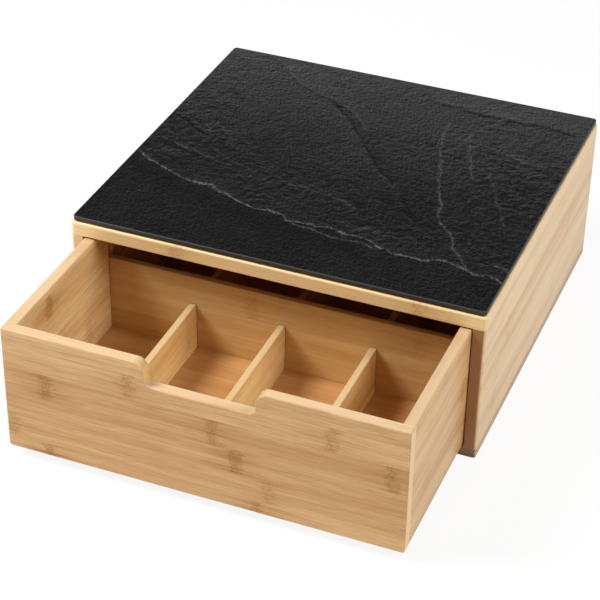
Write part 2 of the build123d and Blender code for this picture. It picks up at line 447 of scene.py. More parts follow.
class Board(NamedTuple):
    """How one board looks: the turn to its grain, the seed of its figure, its two tones, how
    plainly its fibres show, the colour of its sawn ends, how strong its random knuckles are, the
    two paler tones painted on its inner face as light, the colours of the painted shade at its foot
    and of the painted shadow on its front edge, and the strips that are set down for it. None
    stands for the usual tones, or for nothing special."""

    turn: Matrix
    seed: int
    pale: tuple = None
    deep: tuple = None
    fibre_share: float = 0.55
    end: tuple = None
    knuckles: float = 0.5
    inner: tuple = None
    foot: tuple = None
    strips: tuple = ()


# Painted shade: darker tones for the case's right side panel and its bottom board, offsetting the
# light of the fill lamp at the right.
SHADED_SIDE_TONES = (srgb(223, 195, 151), srgb(200, 161, 112))
BARE_TONES = (srgb(242, 214, 154), srgb(222, 184, 122))

# A strip is set down by its start as a share of the board's width, its tone from 0 for deep
# to 1 for pale, the place of a knuckle along the grain in millimetres, the knuckle's
# strength, and the distance to the next one in millimetres.
CASE_BOARDS = {
    # Painted light: the pale tones, the front strip near the pale tone and the few fibres brighten
    # the rail's front face against the shade it falls in.
    "top_board": Board(
        ALONG_X_LYING, 11, srgb(246, 212, 154), srgb(232, 192, 134), 0.32,
        end=srgb(222, 194, 149), knuckles=0.3, strips=((0.0, 0.95, -73, 0.55, 180),),
    ),
    # Painted shade: the bottom board's foot is darkened as contact shadow, and its front edge as
    # the open drawer's shadow.
    "bottom_board": Board(
        ALONG_X_LYING, 12, *SHADED_SIDE_TONES, end=srgb(214, 180, 133),
        foot=(srgb(134, 90, 56), srgb(128, 84, 48)),
    ),
    "left_side_panel": Board(
        ALONG_Y_UPRIGHT, 13, srgb(222, 188, 138), srgb(202, 160, 108), 0.3,
        end=srgb(222, 184, 132), knuckles=0.3,
    ),
    # Painted shadow: the front end of this panel is coloured dark brown as the shadow that the open
    # drawer casts on it.
    "right_side_panel": Board(
        ALONG_Y_UPRIGHT, 14, *SHADED_SIDE_TONES, 0.16, end=srgb(152, 104, 60),
        strips=(
            (0.000, 0.50, -60, 0.15, 170), (0.085, 0.62, 40, 0.20, 150),
            (0.330, 0.85, -110, 0.12, 180), (0.500, 0.40, 75, 0.25, 160),
            (0.750, 0.60, -20, 0.15, 190),
        ),
    ),
    "back_panel": Board(ALONG_X_UPRIGHT, 15, fibre_share=0.5, knuckles=0.3),
}
DRAWER_BOARDS = {
    "drawer_front": Board(
        ALONG_X_UPRIGHT, 21, fibre_share=0.8,
        strips=(
            (0.000, 0.60, 41, 0.90, 154), (0.098, 0.52, 49, 0.60, 190),
            (0.290, 0.20, 25, 1.00, 210), (0.483, 0.08, 10, 1.00, 124),
            (0.690, 0.72, 92, 0.90, 144), (0.880, 0.80, -20, 0.10, 150),
        ),
    ),
    # Painted light: the inner face takes paler tones, standing in for light falling on it from the
    # right.
    "drawer_left_side": Board(
        ALONG_Y_UPRIGHT, 22, fibre_share=0.7, inner=(srgb(246, 216, 162), srgb(228, 188, 132)),
        strips=(
            (0.00, 0.5, -90, 0.3, 170), (0.19, 0.7, -160, 0.3, 150), (0.38, 0.3, -40, 0.4, 160),
            (0.57, 0.6, -120, 0.3, 190), (0.76, 0.4, -215, 0.9, 150), (0.95, 0.7, -60, 0.2, 180),
        ),
    ),
    # Painted shade: darker tones than the other drawer boards, offsetting the fill lamp at the
    # right.
    "drawer_right_side": Board(
        ALONG_Y_UPRIGHT, 23, srgb(212, 174, 121), srgb(188, 143, 90), 0.4,
        strips=(
            (0.00, 0.6, -145, 0.7, 170), (0.25, 0.4, -40, 0.3, 190), (0.45, 0.5, -157, 0.8, 180),
            (0.66, 0.7, -70, 0.2, 160), (0.85, 0.5, -200, 0.3, 150),
        ),
    ),
    "drawer_back": Board(ALONG_X_UPRIGHT, 24),
}
THIN_BOARDS = {
    # Painted shade: slightly darker tones, for the dim light inside the drawer.
    "cross_divider": Board(
        ALONG_X_UPRIGHT, 31, srgb(214, 182, 126), srgb(192, 150, 94), 0.45, knuckles=0.35,
    ),
    "left_divider": Board(ALONG_Y_UPRIGHT, 32, *BARE_TONES, 0.45, knuckles=0.35),
    "middle_divider": Board(ALONG_Y_UPRIGHT, 33, *BARE_TONES, 0.45, knuckles=0.35),
    "right_divider": Board(ALONG_Y_UPRIGHT, 34, *BARE_TONES, 0.45, knuckles=0.35),
    "drawer_floor": Board(
        ALONG_X_LYING, 35, srgb(206, 158, 104), srgb(178, 128, 78), 0.45, knuckles=0.35,
    ),
}


def strips_of(board, width, settings):
    """The start, tone, knuckle place, knuckle strength and spread of each strip of a board,
    with the starts as shares of its width. They are the ones set down for it, or else random
    ones of about one width, of which a single one set down takes the first's place."""
    chosen = [
        (start, tone, (-place / apart) % 1.0, strength, apart * MM / settings.knuckle_pitch - 0.5)
        for start, tone, place, strength, apart in board.strips
    ]
    if len(chosen) > 1:
        return chosen
    rng = np.random.default_rng(board.seed)
    first = rng.uniform(0.25, 1.0) * settings.strip
    starts = np.concatenate(([0.0], np.arange(first, width, settings.strip) / width))
    count = len(starts)
    strips = list(zip(
        starts, rng.uniform(0.15, 0.9, count), rng.uniform(0, 1, count),
        rng.uniform(0.25, 1.0, count) * board.knuckles, rng.uniform(0.35, 0.65, count),
    ))
    return chosen + strips[len(chosen):]


def bamboo(node, board):
    """A varnished bamboo material for one board, centred on it and turned to its grain."""
    settings = bpy.context.scene.drawer_box_bamboo
    low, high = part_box(node)
    lower, upper = sorted(((board.turn @ low).y, (board.turn @ high).y))
    material, tree, shader = new_material(node + "_bamboo")
    coordinates = add(tree, "ShaderNodeTexCoord")
    normal = coordinates.outputs["Normal"]
    mapping = add(tree, "ShaderNodeMapping", {"Vector": coordinates.outputs["Object"]})
    mapping.inputs["Rotation"].default_value = board.turn.to_euler("XYZ")
    mapping.inputs["Location"].default_value = (0.0, -lower, 0.0)
    share = calc(tree, "DIVIDE", split(tree, mapping.outputs[0])["Y"], upper - lower)
    strip = table_of(tree, share, strips_of(board, upper - lower, settings), "CONSTANT")
    end_on = calc(tree, "ABSOLUTE", facing(tree, normal, tuple(board.turn.row[0])))
    pale = opaque(board.pale or settings.pale)
    deep = opaque(board.deep or settings.deep)
    end = opaque(board.end) if board.end else pale
    # Painted light: a board's inner face can take paler tones that stand in for light falling on
    # it.
    if board.inner:
        inside = ramp_to(tree, facing(tree, normal, tuple(board.turn.row[2])), 0.5, 0.9)
        pale = mix(tree, inside, pale, opaque(board.inner[0]))
        deep = mix(tree, inside, deep, opaque(board.inner[1]))
    cane = use_group(tree, "laminated_bamboo", {
        "Grain": mapping.outputs[0],
        "Strip": strip["Color"],
        "Spread": strip["Alpha"],
        "Knuckle Pitch": settings.knuckle_pitch,
        "Pale": pale,
        "Deep": deep,
        "Fibre": opaque(settings.fibre),
        "Fibre Share": board.fibre_share,
        "End Grain": ramp_to(tree, end_on, 0.75, 0.95),
        "End": end,
        "Seed": board.seed * 0.37,
    })
    # Painted light: the narrow edges on top are painted paler, as light falling on them from above,
    # and the arrises are painted paler than the faces as a highlight.
    towards = split(tree, normal)
    colour = cane.outputs["Color"]
    if high.z - low.z > LYING_HEIGHT:
        painted_top_light = ramp_to(tree, towards["Z"], 0.6, 0.95, 0.0, 0.5)
        colour = mix(tree, painted_top_light, colour, opaque(TOP_EDGE_PAINTED_LIGHT))
    arris = use_group(tree, "worn_arris", {"Radius": 0.9 * MM, "Gain": 1.6})
    colour = mix(tree, arris.outputs["Mask"], colour, opaque(ARRIS_PAINTED_HIGHLIGHT))
    # Painted shade: the foot is darkened as the shadow where the board meets the floor, and the
    # front edge is darkened brown, blacker low down, as the shadow of the open drawer.
    if board.foot:
        place = split(tree, coordinates.outputs["Object"])
        rise = calc(tree, "DIVIDE", place["Z"], high.z - low.z)
        colour = mix(tree, graded(tree, rise, FOOT_PAINTED_SHADE_SHARES), colour, opaque(board.foot[0]))
        painted_front_shadow = mix(tree, graded(tree, rise, FRONT_PAINTED_SHADOW_SHARES), opaque(board.foot[1]),
                  (0.0, 0.0, 0.0, 1.0))
        front = ramp_to(tree, towards["Y"], -0.6, -0.9, 0.0, 0.85)
        colour = mix(tree, front, colour, painted_front_shadow)
    bump = add(tree, "ShaderNodeBump", {
        "Height": cane.outputs["Height"],
        "Distance": 0.05 * MM,
        "Strength": 0.6,
        "Normal": arris.outputs["Normal"],
    })
    put(tree, shader.inputs["Base Color"], colour)
    put(tree, shader.inputs["Roughness"],
        calc(tree, "ADD", cane.outputs["Gloss"], settings.varnish_roughness))
    put(tree, shader.inputs["Normal"], bump.outputs[0])
    return material


def dress(node, material):
    """Gives a CAD node one material in every slot."""
    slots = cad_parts[node].data.materials
    if not len(slots):
        slots.append(material)
    for index in range(len(slots)):
        slots[index] = material


def dress_boards(boards):
    """Gives every board of a table its own bamboo."""
    for node, board in boards.items():
        dress(node, bamboo(node, board))


class BambooCase(bpy.types.Operator):
    """Dress the boards of the case in bamboo"""

    bl_idname = "drawer_box.case"
    bl_label = "Case boards"

    def execute(self, context):
        dress_boards(CASE_BOARDS)
        return {"FINISHED"}


class BambooDrawer(bpy.types.Operator):
    """Dress the four boards of the drawer in bamboo"""

    bl_idname = "drawer_box.drawer"
    bl_label = "Drawer boards"

    def execute(self, context):
        dress_boards(DRAWER_BOARDS)
        return {"FINISHED"}


class BambooDividers(bpy.types.Operator):
    """Dress the drawer's floor and its dividers in bamboo"""

    bl_idname = "drawer_box.dividers"
    bl_label = "Floor and dividers"

    def execute(self, context):
        dress_boards(THIN_BOARDS)
        return {"FINISHED"}


# ------------------------ slate plate


# The slate's cleavage runs from rear left to front right, at this angle to X.
CLEAVAGE = math.radians(42)

# Cells of noise in a metre, along the cleavage, across it and down, or all ways alike. The
# last are the wheel's marks on the ground edge, in X, Y and Z.
LAYER_CELLS = (60.0, 190.0, 190.0)
FLAKE_CELLS = (250.0, 600.0, 600.0)
GRIT_CELLS = 2600.0
VEIN_WOBBLE_CELLS = 420.0
VEIN_SWELL_CELLS = 150.0
WHEEL_CELLS = (900.0, 900.0, 5200.0)

# In millimetres: how far a mark fades at its ends, how far a step's height reaches, where a
# vein's strength ends and how softly, and how far the veins waver.
END_FADE = 8.0
STEP_REACH = 9
VEIN_END = 4.0
VEIN_SOFTNESS = 1.5
VEIN_WAVER = 3.2
# The distances to a mark and to a vein, where none is near.
FAR = 1e9
NO_VEIN = 9.0


def lattice_noise(x, y, cell, seed):
    """Smooth noise from -1 to 1: random values at the corners of square cells, blended inside
    each cell with the quintic 6t^5 - 15t^4 + 10t^3 along both axes."""
    size = 256
    values = np.random.default_rng(seed).uniform(-1, 1, (size, size))
    u = x / cell + 64
    v = y / cell + 64
    column = np.floor(u).astype(int)
    row = np.floor(v).astype(int)
    s = u - column
    t = v - row
    s = s * s * s * (s * (s * 6 - 15) + 10)
    t = t * t * t * (t * (t * 6 - 15) + 10)
    near = values[column % size, row % size] * (1 - s) + values[(column + 1) % size, row % size] * s
    far = (values[column % size, (row + 1) % size] * (1 - s)
           + values[(column + 1) % size, (row + 1) % size] * s)
    return near * (1 - t) + far * t


def line_field(x, y, points):
    """For every place: its signed distance to a line of points, positive on the left of it,
    and the length along the line at the nearest point. Then the whole line's length."""
    best = np.full(x.shape, FAR)
    signed = np.zeros(x.shape)
    run = np.zeros(x.shape)
    passed = 0.0
    for (x0, y0), (x1, y1) in zip(points[:-1], points[1:]):
        dx = x1 - x0
        dy = y1 - y0
        length = math.hypot(dx, dy)
        t = np.clip(((x - x0) * dx + (y - y0) * dy) / length**2, 0, 1)
        away = np.hypot(x - x0 - t * dx, y - y0 - t * dy)
        side = np.sign(dx * (y - y0) - dy * (x - x0))
        closer = away < best
        best = np.where(closer, away, best)
        signed = np.where(closer, side * away, signed)
        run = np.where(closer, passed + t * length, run)
        passed += length
    return signed, run, passed


# Marks on the plate in millimetres from its middle, each with the height of its crest, the
# height of the step across it, the width of the crest, and how plainly its vein shows. The
# lesser ones have vein layers of their own, so that they may cross the others.
MARKS = {
    "main_vein": (0.12, 0.10, 1.3, 1.0, (
        (-153, -41), (-140, -50), (-128, -55), (-110, -63), (-95, -67), (-87, -68), (-79, -67),
        (-71, -72), (-61, -77), (-53, -81), (-41, -84), (-32, -85), (-28, -83), (-17, -85),
        (-12, -90), (1, -88), (10, -90), (18, -87), (27, -90), (33, -91), (42, -91), (51, -92),
        (60, -99), (67, -99), (75, -101), (85, -101), (95, -101), (103, -96), (110, -96),
        (118, -99), (125, -101), (131, -105), (137, -104), (143, -101), (148, -103),
        (154, -110))),
    "second_vein": (0.10, 0.03, 1.6, 0.55, (
        (49, 94), (52, 75), (54, 59), (61, 40), (68, 16), (74, -7), (83, -24), (86, -40),
        (92, -52), (100, -61), (108, -77), (116, -87), (126, -99))),
    "third_vein": (0.07, 0.0, 1.2, 0.45, ((71, 83), (76, 63), (79, 50), (86, 37), (93, 14))),
    "fourth_vein": (0.04, 0.0, 1.2, 0.28, (
        (101, 35), (108, 15), (118, -4), (127, -23), (134, -39))),
    "left_vein": (0.05, 0.02, 1.1, 0.42, (
        (-152, -17), (-134, -18), (-124, -22), (-111, -27), (-100, -30), (-78, -36))),
    "middle_vein": (0.04, 0.0, 1.1, 0.38, (
        (-36, -40), (-27, -44), (-16, -43), (-4, -47), (4, -46), (16, -50), (30, -57))),
    "edge_vein": (0.05, 0.0, 1.1, 0.6, ((141, -88), (153, -92))),
}
LESSER_MARKS = {
    "strand": (0.06, 0.0, 1.2, 0.6, (
        (-10, -92), (-3, -94), (8, -95), (21, -97), (32, -98), (39, -98), (49, -98), (58, -101))),
    "right_vein": (0.07, 0.04, 1.4, 0.4, (
        (60, 70), (73, 70), (87, 68), (105, 62), (123, 56), (141, 59))),
    "left_nick": (0.20, 0.0, 1.3, 0.15, ((-122, 16), (-115, 6), (-106, -5))),
    "second_nick": (0.18, 0.0, 1.3, 0.15, ((-115, 16), (-109, 15), (-103, 10), (-94, 0))),
    "short_ridge": (0.18, 0.05, 1.3, 0.20, ((40, -10), (46, -20), (56, -33))),
    "rear_ridge": (0.10, 0.32, 2.0, 0.30, (
        (23, 124), (41, 119), (53, 119), (64, 115), (74, 114), (86, 116), (106, 114),
        (117, 118), (127, 114), (138, 113), (152, 113))),
    "crest": (0.16, 0.14, 2.2, 0.25, (
        (-101, 132), (-96, 122), (-84, 111), (-69, 102), (-49, 93), (-39, 88), (-23, 77),
        (-11, 65), (0, 50))),
    "crease": (-0.30, -0.14, 1.3, 0.0, (
        (-46, 88), (-27, 70), (-8, 46), (11, 21), (27, -1), (43, -16), (54, -31), (62, -41),
        (79, -69))),
    "left_crease": (-0.26, 0.10, 1.2, 0.0, ((-152, 21), (-138, 15), (-126, 6), (-112, -2))),
    "corner_crease": (-0.24, 0.0, 1.2, 0.0, ((128, -109), (136, -117), (146, -132))),
}


# Flakes: height in millimetres, stretch along the cleavage, cell in millimetres and seed. The
# edged ones are creased noise, and the soft ones are plain noise.
EDGED_FLAKES = ((0.040, 3.0, 9.0, 5), (0.045, 2.2, 5.2, 6))
SOFT_FLAKES = ((0.070, 1.5, 3.0, 7), (0.055, 1.2, 2.2, 8))


def slate_relief(x, y):
    """Height of the slate in millimetres about its mean, its tone with painted light and shade, and
    its veins' layers.

    Cleaved layers: soft noise in cells drawn out along the cleavage, which runs from rear
    left to front right, plus creased noise 1 - |n| for the edges of flakes. Each mark adds
    a crest exp(-(d/w)^2) and a step tanh(d/w) exp(-|d|/r) across it, both fading at its ends."""
    along = x * math.cos(-CLEAVAGE) + y * math.sin(-CLEAVAGE)
    across = -x * math.sin(-CLEAVAGE) + y * math.cos(-CLEAVAGE)
    bend = 7 * lattice_noise(x, y, 55, 1) + 2.5 * lattice_noise(x, y, 17, 2)
    across = across + bend
    wobble_x = 1.2 * lattice_noise(x, y, 8, 9) + 0.5 * lattice_noise(x, y, 3, 10)
    wobble_y = 1.2 * lattice_noise(x, y, 8, 11) + 0.5 * lattice_noise(x, y, 3, 12)
    behind = line_field(x, y, MARKS["main_vein"][4])[0]
    rough = 0.45 + 0.55 * np.clip(behind / 12 + 0.3, 0, 1)
    rough *= 0.9 + 0.35 * lattice_noise(x, y, 45, 13)
    broad = 0.10 * lattice_noise(x, y, 60, 3) + 0.07 * lattice_noise(along / 2.2, across, 14, 4)
    fine = np.zeros(x.shape)
    for height, drawn, cell, seed in EDGED_FLAKES:
        fine += height * (1 - 2 * np.abs(lattice_noise(along / drawn, across, cell, seed)))
    for height, drawn, cell, seed in SOFT_FLAKES:
        fine += height * lattice_noise(along / drawn, across, cell, seed)
    relief = broad + rough * fine
    marked = np.zeros(x.shape)
    layers = []
    for marks in (MARKS, LESSER_MARKS):
        nearest = np.full(x.shape, FAR)
        offset = np.full(x.shape, NO_VEIN)
        strength = np.zeros(x.shape)
        for crest, step, width, vein, points in marks.values():
            signed, run, length = line_field(x + wobble_x, y + wobble_y, points)
            ends = np.clip(np.minimum(run, length - run) / min(END_FADE, length / 4), 0, 1)
            ridge = crest * ends * np.exp(-((signed / width) ** 2))
            stair = step * ends * np.tanh(signed / width) * np.exp(-np.abs(signed) / STEP_REACH)
            relief += ridge + stair
            marked += ridge + 0.8 * stair
            closer = np.abs(signed) < nearest
            nearest = np.where(closer, np.abs(signed), nearest)
            offset = np.where(closer, signed, offset)
            near = np.clip((VEIN_END - np.abs(signed)) / VEIN_SOFTNESS, 0, 1)
            strength = np.where(closer, vein * near * np.clip(ends * 3, 0, 1), strength)
        layers.append((offset, strength))
    # Painted light and shade: slopes that face the rear left are painted paler than the others, as
    # if lit from there, crests are painted paler as highlights and creases darker as shade. The
    # band before the main vein is dark, and the rear is painted paler as sheen.
    middle = x.shape[1] // 2
    slope_x, slope_y = np.gradient(relief, x[1, middle] - x[0, middle], y[0, 1] - y[0, 0])
    tone = 0.030 + 0.35 * np.clip((y + 45) / 190, 0, 1) ** 1.5
    tone += 0.03 * np.clip((behind + 6) / 20, 0, 1)
    tone -= 0.03 * np.exp(-(((behind + 14) / 11) ** 2)) * np.clip(1.2 - np.abs(x + 10) / 110, 0, 1)
    tone += 0.15 * broad + 0.45 * rough * fine + 0.35 * marked
    tone += (1.5 * slope_x - 1.3 * slope_y) * (0.1 + 0.9 * rough)
    return relief, np.clip(tone, 0, 1), layers


def slate_plate(settings):
    """The plate as one closed surface. Its top is a grid over the plan, whose cells near a
    corner are drawn in to the arc by p max(p) / |p|. Rings carry the grid's border outwards
    and down along the ground edge, and one flat face closes the underside."""
    low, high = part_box("glass_top")
    half_x = (high.x - low.x) / 2 - settings.arris
    half_y = (high.y - low.y) / 2 - settings.arris
    radius = settings.corner - settings.arris
    columns = round(2 * half_x / settings.cell) + 1
    rows = round(2 * half_y / settings.cell) + 1
    x, y = np.meshgrid(
        np.linspace(-half_x, half_x, columns), np.linspace(-half_y, half_y, rows), indexing="ij"
    )
    inner_x = half_x - radius
    inner_y = half_y - radius
    p = np.clip((np.abs(x) - inner_x) / radius, 0, 1)
    q = np.clip((np.abs(y) - inner_y) / radius, 0, 1)
    reach = np.hypot(p, q)
    divisor = np.where(reach > 0, reach, 1)
    fold = np.where(reach > 0, np.maximum(p, q) / divisor, 1)
    corner = (p > 0) & (q > 0)
    x = np.where(corner, np.sign(x) * (inner_x + radius * p * fold), x)
    y = np.where(corner, np.sign(y) * (inner_y + radius * q * fold), y)
    relief, tone, layers = slate_relief(x / MM, y / MM)
    border = np.minimum(half_x - np.abs(x), half_y - np.abs(y)) / (2.0 * MM)
    fade = np.clip(border, 0, 1) ** 2 * (3 - 2 * np.clip(border, 0, 1))
    depth = np.clip(settings.rim_drop / MM - relief * fade, 0.0, 0.9) * MM
    z = high.z - depth
    top = np.stack((x, y, z), axis=-1).reshape(-1, 3)

    index = np.arange(columns * rows).reshape(columns, rows)
    loop = np.concatenate((index[:-1, 0], index[-1, :-1], index[:0:-1, -1], index[0, :0:-1]))
    outward = np.stack((np.sign(x) * p / divisor, np.sign(y) * q / divisor), axis=-1)
    outward = outward.reshape(-1, 2)[loop]
    rim = top[loop]
    level = high.z - settings.rim_drop
    a = settings.arris
    profile = (
        (0.30 * a, level - 0.06 * a), (0.72 * a, level - 0.34 * a), (a, level - a),
        (a, low.z + a), (0.6 * a, low.z + 0.3 * a), (0.0, low.z),
    )
    rings = [
        np.column_stack((rim[:, :2] + outward * out, np.full(len(loop), height)))
        for out, height in profile
    ]
    vertices = np.concatenate([top, *rings])
    quads = np.stack(
        (index[:-1, :-1], index[1:, :-1], index[1:, 1:], index[:-1, 1:]), axis=-1
    ).reshape(-1, 4)
    levels = [loop] + [
        len(top) + ring * len(loop) + np.arange(len(loop)) for ring in range(len(profile))
    ]
    walls = [
        np.stack((upper, lower, np.roll(lower, -1), np.roll(upper, -1)), axis=-1)
        for upper, lower in zip(levels[:-1], levels[1:])
    ]
    faces = [*np.concatenate([quads, *walls]).tolist(), levels[-1][::-1].tolist()]
    mesh = bpy.data.meshes.new("slate_plate")
    mesh.from_pydata(vertices.tolist(), [], faces)
    rim_faces = np.arange(len(faces)) >= len(quads)
    mesh.polygons.foreach_set("material_index", rim_faces.astype(np.int32))
    mesh.polygons.foreach_set("use_smooth", (~rim_faces | (np.arange(len(faces)) < len(faces) - 1)))
    extra = len(vertices) - len(top)
    fields = [("slate_tone", tone, 0.3)]
    for number, (offset, strength) in enumerate(layers, 1):
        fields.append((f"vein_offset_{number}", offset, NO_VEIN))
        fields.append((f"vein_strength_{number}", strength, 0.0))
    for label, field, outside in fields:
        attribute = mesh.attributes.new(label, "FLOAT", "POINT")
        padded = np.concatenate((field.reshape(-1), np.full(extra, outside)))
        attribute.data.foreach_set("value", padded.astype(np.float32))
    mesh.update()
    plate = bpy.data.objects.new("slate_plate", mesh)
    bpy.context.scene.collection.objects.link(plate)
    return plate


def slate_material(settings):
    """Satin black slate: stone in two tones, speckled along its cleavage with painted light on the
    flakes' sides, and thin veins.
    """
    material, tree, shader = new_material("slate_face")
    place = add(tree, "ShaderNodeTexCoord").outputs["Object"]
    mapping = add(tree, "ShaderNodeMapping", {"Vector": place})
    mapping.inputs["Rotation"].default_value = (0.0, 0.0, CLEAVAGE)
    turned = mapping.outputs[0]
    layers = noise(tree, turned, LAYER_CELLS, 4.0, 0.6)
    flakes = noise(tree, turned, FLAKE_CELLS, 3.0, 0.65)
    # Painted light: the sides of the flakes that face the rear left are painted paler, as if lit
    # from there.
    beside = shifted(tree, turned, (-0.5 * MM, 0.02 * MM, 0.0))
    rise = calc(tree, "SUBTRACT", flakes, noise(tree, beside, FLAKE_CELLS, 3.0, 0.65))
    grit = noise(tree, place, GRIT_CELLS, 2.0, 0.6)
    tone = add(tree, "ShaderNodeAttribute", attribute_name="slate_tone").outputs["Fac"]
    amount = calc(tree, "ADD", 0.35, calc(tree, "MULTIPLY", tone, 2.5), clamp=True)
    speckle = calc(tree, "MULTIPLY", amount, ramp_to(tree, rise, -0.08, 0.08, -0.30, 0.30))
    paleness = calc(tree, "ADD", tone, speckle, clamp=True)
    stone = mix(tree, paleness, opaque(settings.stone), opaque(settings.pale_stone))
    wobble = noise(tree, place, VEIN_WOBBLE_CELLS, 3.0, 0.6)
    shift = calc(tree, "MULTIPLY", calc(tree, "SUBTRACT", wobble, 0.5), VEIN_WAVER)
    swell = noise(tree, place, VEIN_SWELL_CELLS, 2.0, 0.6)
    width = ramp_to(tree, swell, 0.35, 0.65, 0.40, 1.60)
    veins = None
    for number in (1, 2):
        offset = add(tree, "ShaderNodeAttribute", attribute_name=f"vein_offset_{number}")
        strength = add(tree, "ShaderNodeAttribute", attribute_name=f"vein_strength_{number}")
        away = calc(tree, "ABSOLUTE", calc(tree, "ADD", offset.outputs["Fac"], shift))
        away = calc(tree, "DIVIDE", away, width)
        core = ramp_to(tree, away, 0.80, 0.10)
        haze = ramp_to(tree, away, 2.4, 0.2, 0.0, 0.24)
        vein = calc(tree, "MULTIPLY", calc(tree, "MAXIMUM", core, haze), strength.outputs["Fac"])
        veins = vein if veins is None else calc(tree, "MAXIMUM", veins, vein)
    broken = ramp_to(tree, flakes, 0.39, 0.59, 0.20, 1.0)
    veins = calc(tree, "MULTIPLY", veins, broken)
    colour = mix(tree, veins, stone, opaque(settings.vein))
    height = calc(
        tree, "ADD", calc(tree, "MULTIPLY", flakes, 0.8),
        calc(tree, "ADD", calc(tree, "MULTIPLY", layers, 0.5), calc(tree, "MULTIPLY", grit, 0.12)),
    )
    bump = add(tree, "ShaderNodeBump", {"Height": height, "Distance": 0.9 * MM, "Strength": 1.0})
    put(tree, shader.inputs["Base Color"], colour)
    put(tree, shader.inputs["Roughness"], ramp_to(tree, layers, 0.3, 0.7, 0.44, 0.56))
    put(tree, shader.inputs["Normal"], bump.outputs[0])
    shader.inputs["Specular IOR Level"].default_value = 0.012
    return material


def ground_glass_material(settings):
    """The ground edge of the glass: warm grey, with a painted highlight on the arris, and fine
    wheel marks.
    """
    material, tree, shader = new_material("ground_glass_edge")
    coordinates = add(tree, "ShaderNodeTexCoord")
    marks = noise(tree, coordinates.outputs["Object"], WHEEL_CELLS, 3.0)
    arris = use_group(tree, "worn_arris", {"Radius": 0.5 * MM, "Gain": 2.2})
    body = mix(tree, ramp_to(tree, marks, 0.3, 0.7), opaque(settings.ground_edge),
               opaque(tuple(0.72 * value for value in settings.ground_edge)))
    colour = mix(tree, arris.outputs["Mask"], body, opaque(settings.ground_arris_highlight))
    # Painted shade: the edges at the sides are darkened toward the colour of the stone.
    sideways = split(tree, coordinates.outputs["Normal"])["X"]
    painted_side_shade = ramp_to(tree, calc(tree, "ABSOLUTE", sideways), 0.5, 0.9, 0.0, 0.75)
    colour = mix(tree, painted_side_shade, colour, opaque(settings.stone))
    shader.inputs["Specular IOR Level"].default_value = 0.2
    bump = add(tree, "ShaderNodeBump", {"Height": marks, "Distance": 0.04 * MM, "Strength": 0.5})
    put(tree, shader.inputs["Base Color"], colour)
    put(tree, shader.inputs["Roughness"], ramp_to(tree, marks, 0.3, 0.7, 0.32, 0.46))
    put(tree, shader.inputs["Normal"], bump.outputs[0])
    return material


class SlatePlate(bpy.types.Operator):
    """Make the slate glass plate in the place of the plain one"""

    bl_idname = "drawer_box.slate_plate"
    bl_label = "Slate plate"

    def execute(self, context):
        settings = context.scene.drawer_box_slate
        plate = slate_plate(settings)
        plate.data.materials.append(slate_material(settings))
        plate.data.materials.append(ground_glass_material(settings))
        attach(plate, "case")
        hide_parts("glass_top")
        return {"FINISHED"}


def speckled_material(name, cells, detail, roughness, tones, gloss):
    """A material whose colour and roughness wander a little between two values, and its
    Principled shader."""
    material, tree, shader = new_material(name)
    place = add(tree, "ShaderNodeTexCoord").outputs["Object"]
    speckle = noise(tree, place, cells, detail, roughness)
    put(tree, shader.inputs["Base Color"], mix(tree, speckle, *map(opaque, tones)))
    put(tree, shader.inputs["Roughness"], ramp_to(tree, speckle, 0.3, 0.7, *gloss))
    return material, shader


class PadsAndDowels(bpy.types.Operator):
    """Dress the clear pads under the plate and the beech dowels"""

    bl_idname = "drawer_box.pads_and_dowels"
    bl_label = "Pads and dowels"

    def execute(self, context):
        pad, shader = speckled_material(
            "clear_pad_rubber", 900.0, 3.0, 0.5, (srgb(214, 216, 214), srgb(234, 235, 233)),
            (0.18, 0.34),
        )
        shader.inputs["Transmission Weight"].default_value = 0.7
        shader.inputs["IOR"].default_value = 1.41
        dress("glass_pads", pad)
        beech, _ = speckled_material(
            "dowel_beech", 700.0, 4.0, 0.6, (srgb(206, 166, 124), srgb(182, 136, 94)),
            (0.5, 0.65),
        )
        for node in ("case_dowels", "drawer_dowels"):
            dress(node, beech)
        return {"FINISHED"}


# ------------------------ stage


CAMERA_PLACE = (0.417227, -1.160249, 0.837883)
CAMERA_AZIMUTH = 21.3105
CAMERA_ELEVATION = 34.1841
CAMERA_ROLL = 1.1213

# The point that the lamps are turned to, and each lamp's power setting, side and place.
LAMP_AIM = (0.0, -0.06, 0.06)
LAMPS = {
    "key_lamp": ("key_power", 0.6, (-0.95, -0.65, 1.3)),
    "fill_lamp": ("fill_power", 1.0, (1.2, -0.2, 1.1)),
    "back_lamp": ("back_power", 0.9, (-0.5, 1.25, 1.0)),
}
# How much of the floor's light is its own white, where it is seen directly.
FLOOR_WHITE = 0.9


def camera_matrix():
    """The camera's place and turn: it looks back along its azimuth and elevation, and is
    rolled a little about its own axis."""
    azimuth, elevation, roll = (
        math.radians(angle) for angle in (CAMERA_AZIMUTH, CAMERA_ELEVATION, CAMERA_ROLL)
    )
    back = np.array([
        math.sin(azimuth) * math.cos(elevation),
        -math.cos(azimuth) * math.cos(elevation),
        math.sin(elevation),
    ])
    right = np.array([math.cos(azimuth), math.sin(azimuth), 0.0])
    up = np.cross(back, right)
    rolled_right = math.cos(roll) * right + math.sin(roll) * up
    rolled_up = -math.sin(roll) * right + math.cos(roll) * up
    turn = np.column_stack((rolled_right, rolled_up, back))
    return Matrix.Translation(CAMERA_PLACE) @ Matrix(turn.tolist()).to_4x4()


def lamp(name, power, side, place):
    """A square soft box at a place, turned to the lamps' aim."""
    data = bpy.data.lights.new(name, "AREA")
    data.energy = power
    data.shape = "SQUARE"
    data.size = side
    made = bpy.data.objects.new(name, data)
    bpy.context.scene.collection.objects.link(made)
    away = Vector(place) - Vector(LAMP_AIM)
    turn = away.to_track_quat("Z", "Y").to_matrix().to_4x4()
    made.matrix_world = Matrix.Translation(place) @ turn


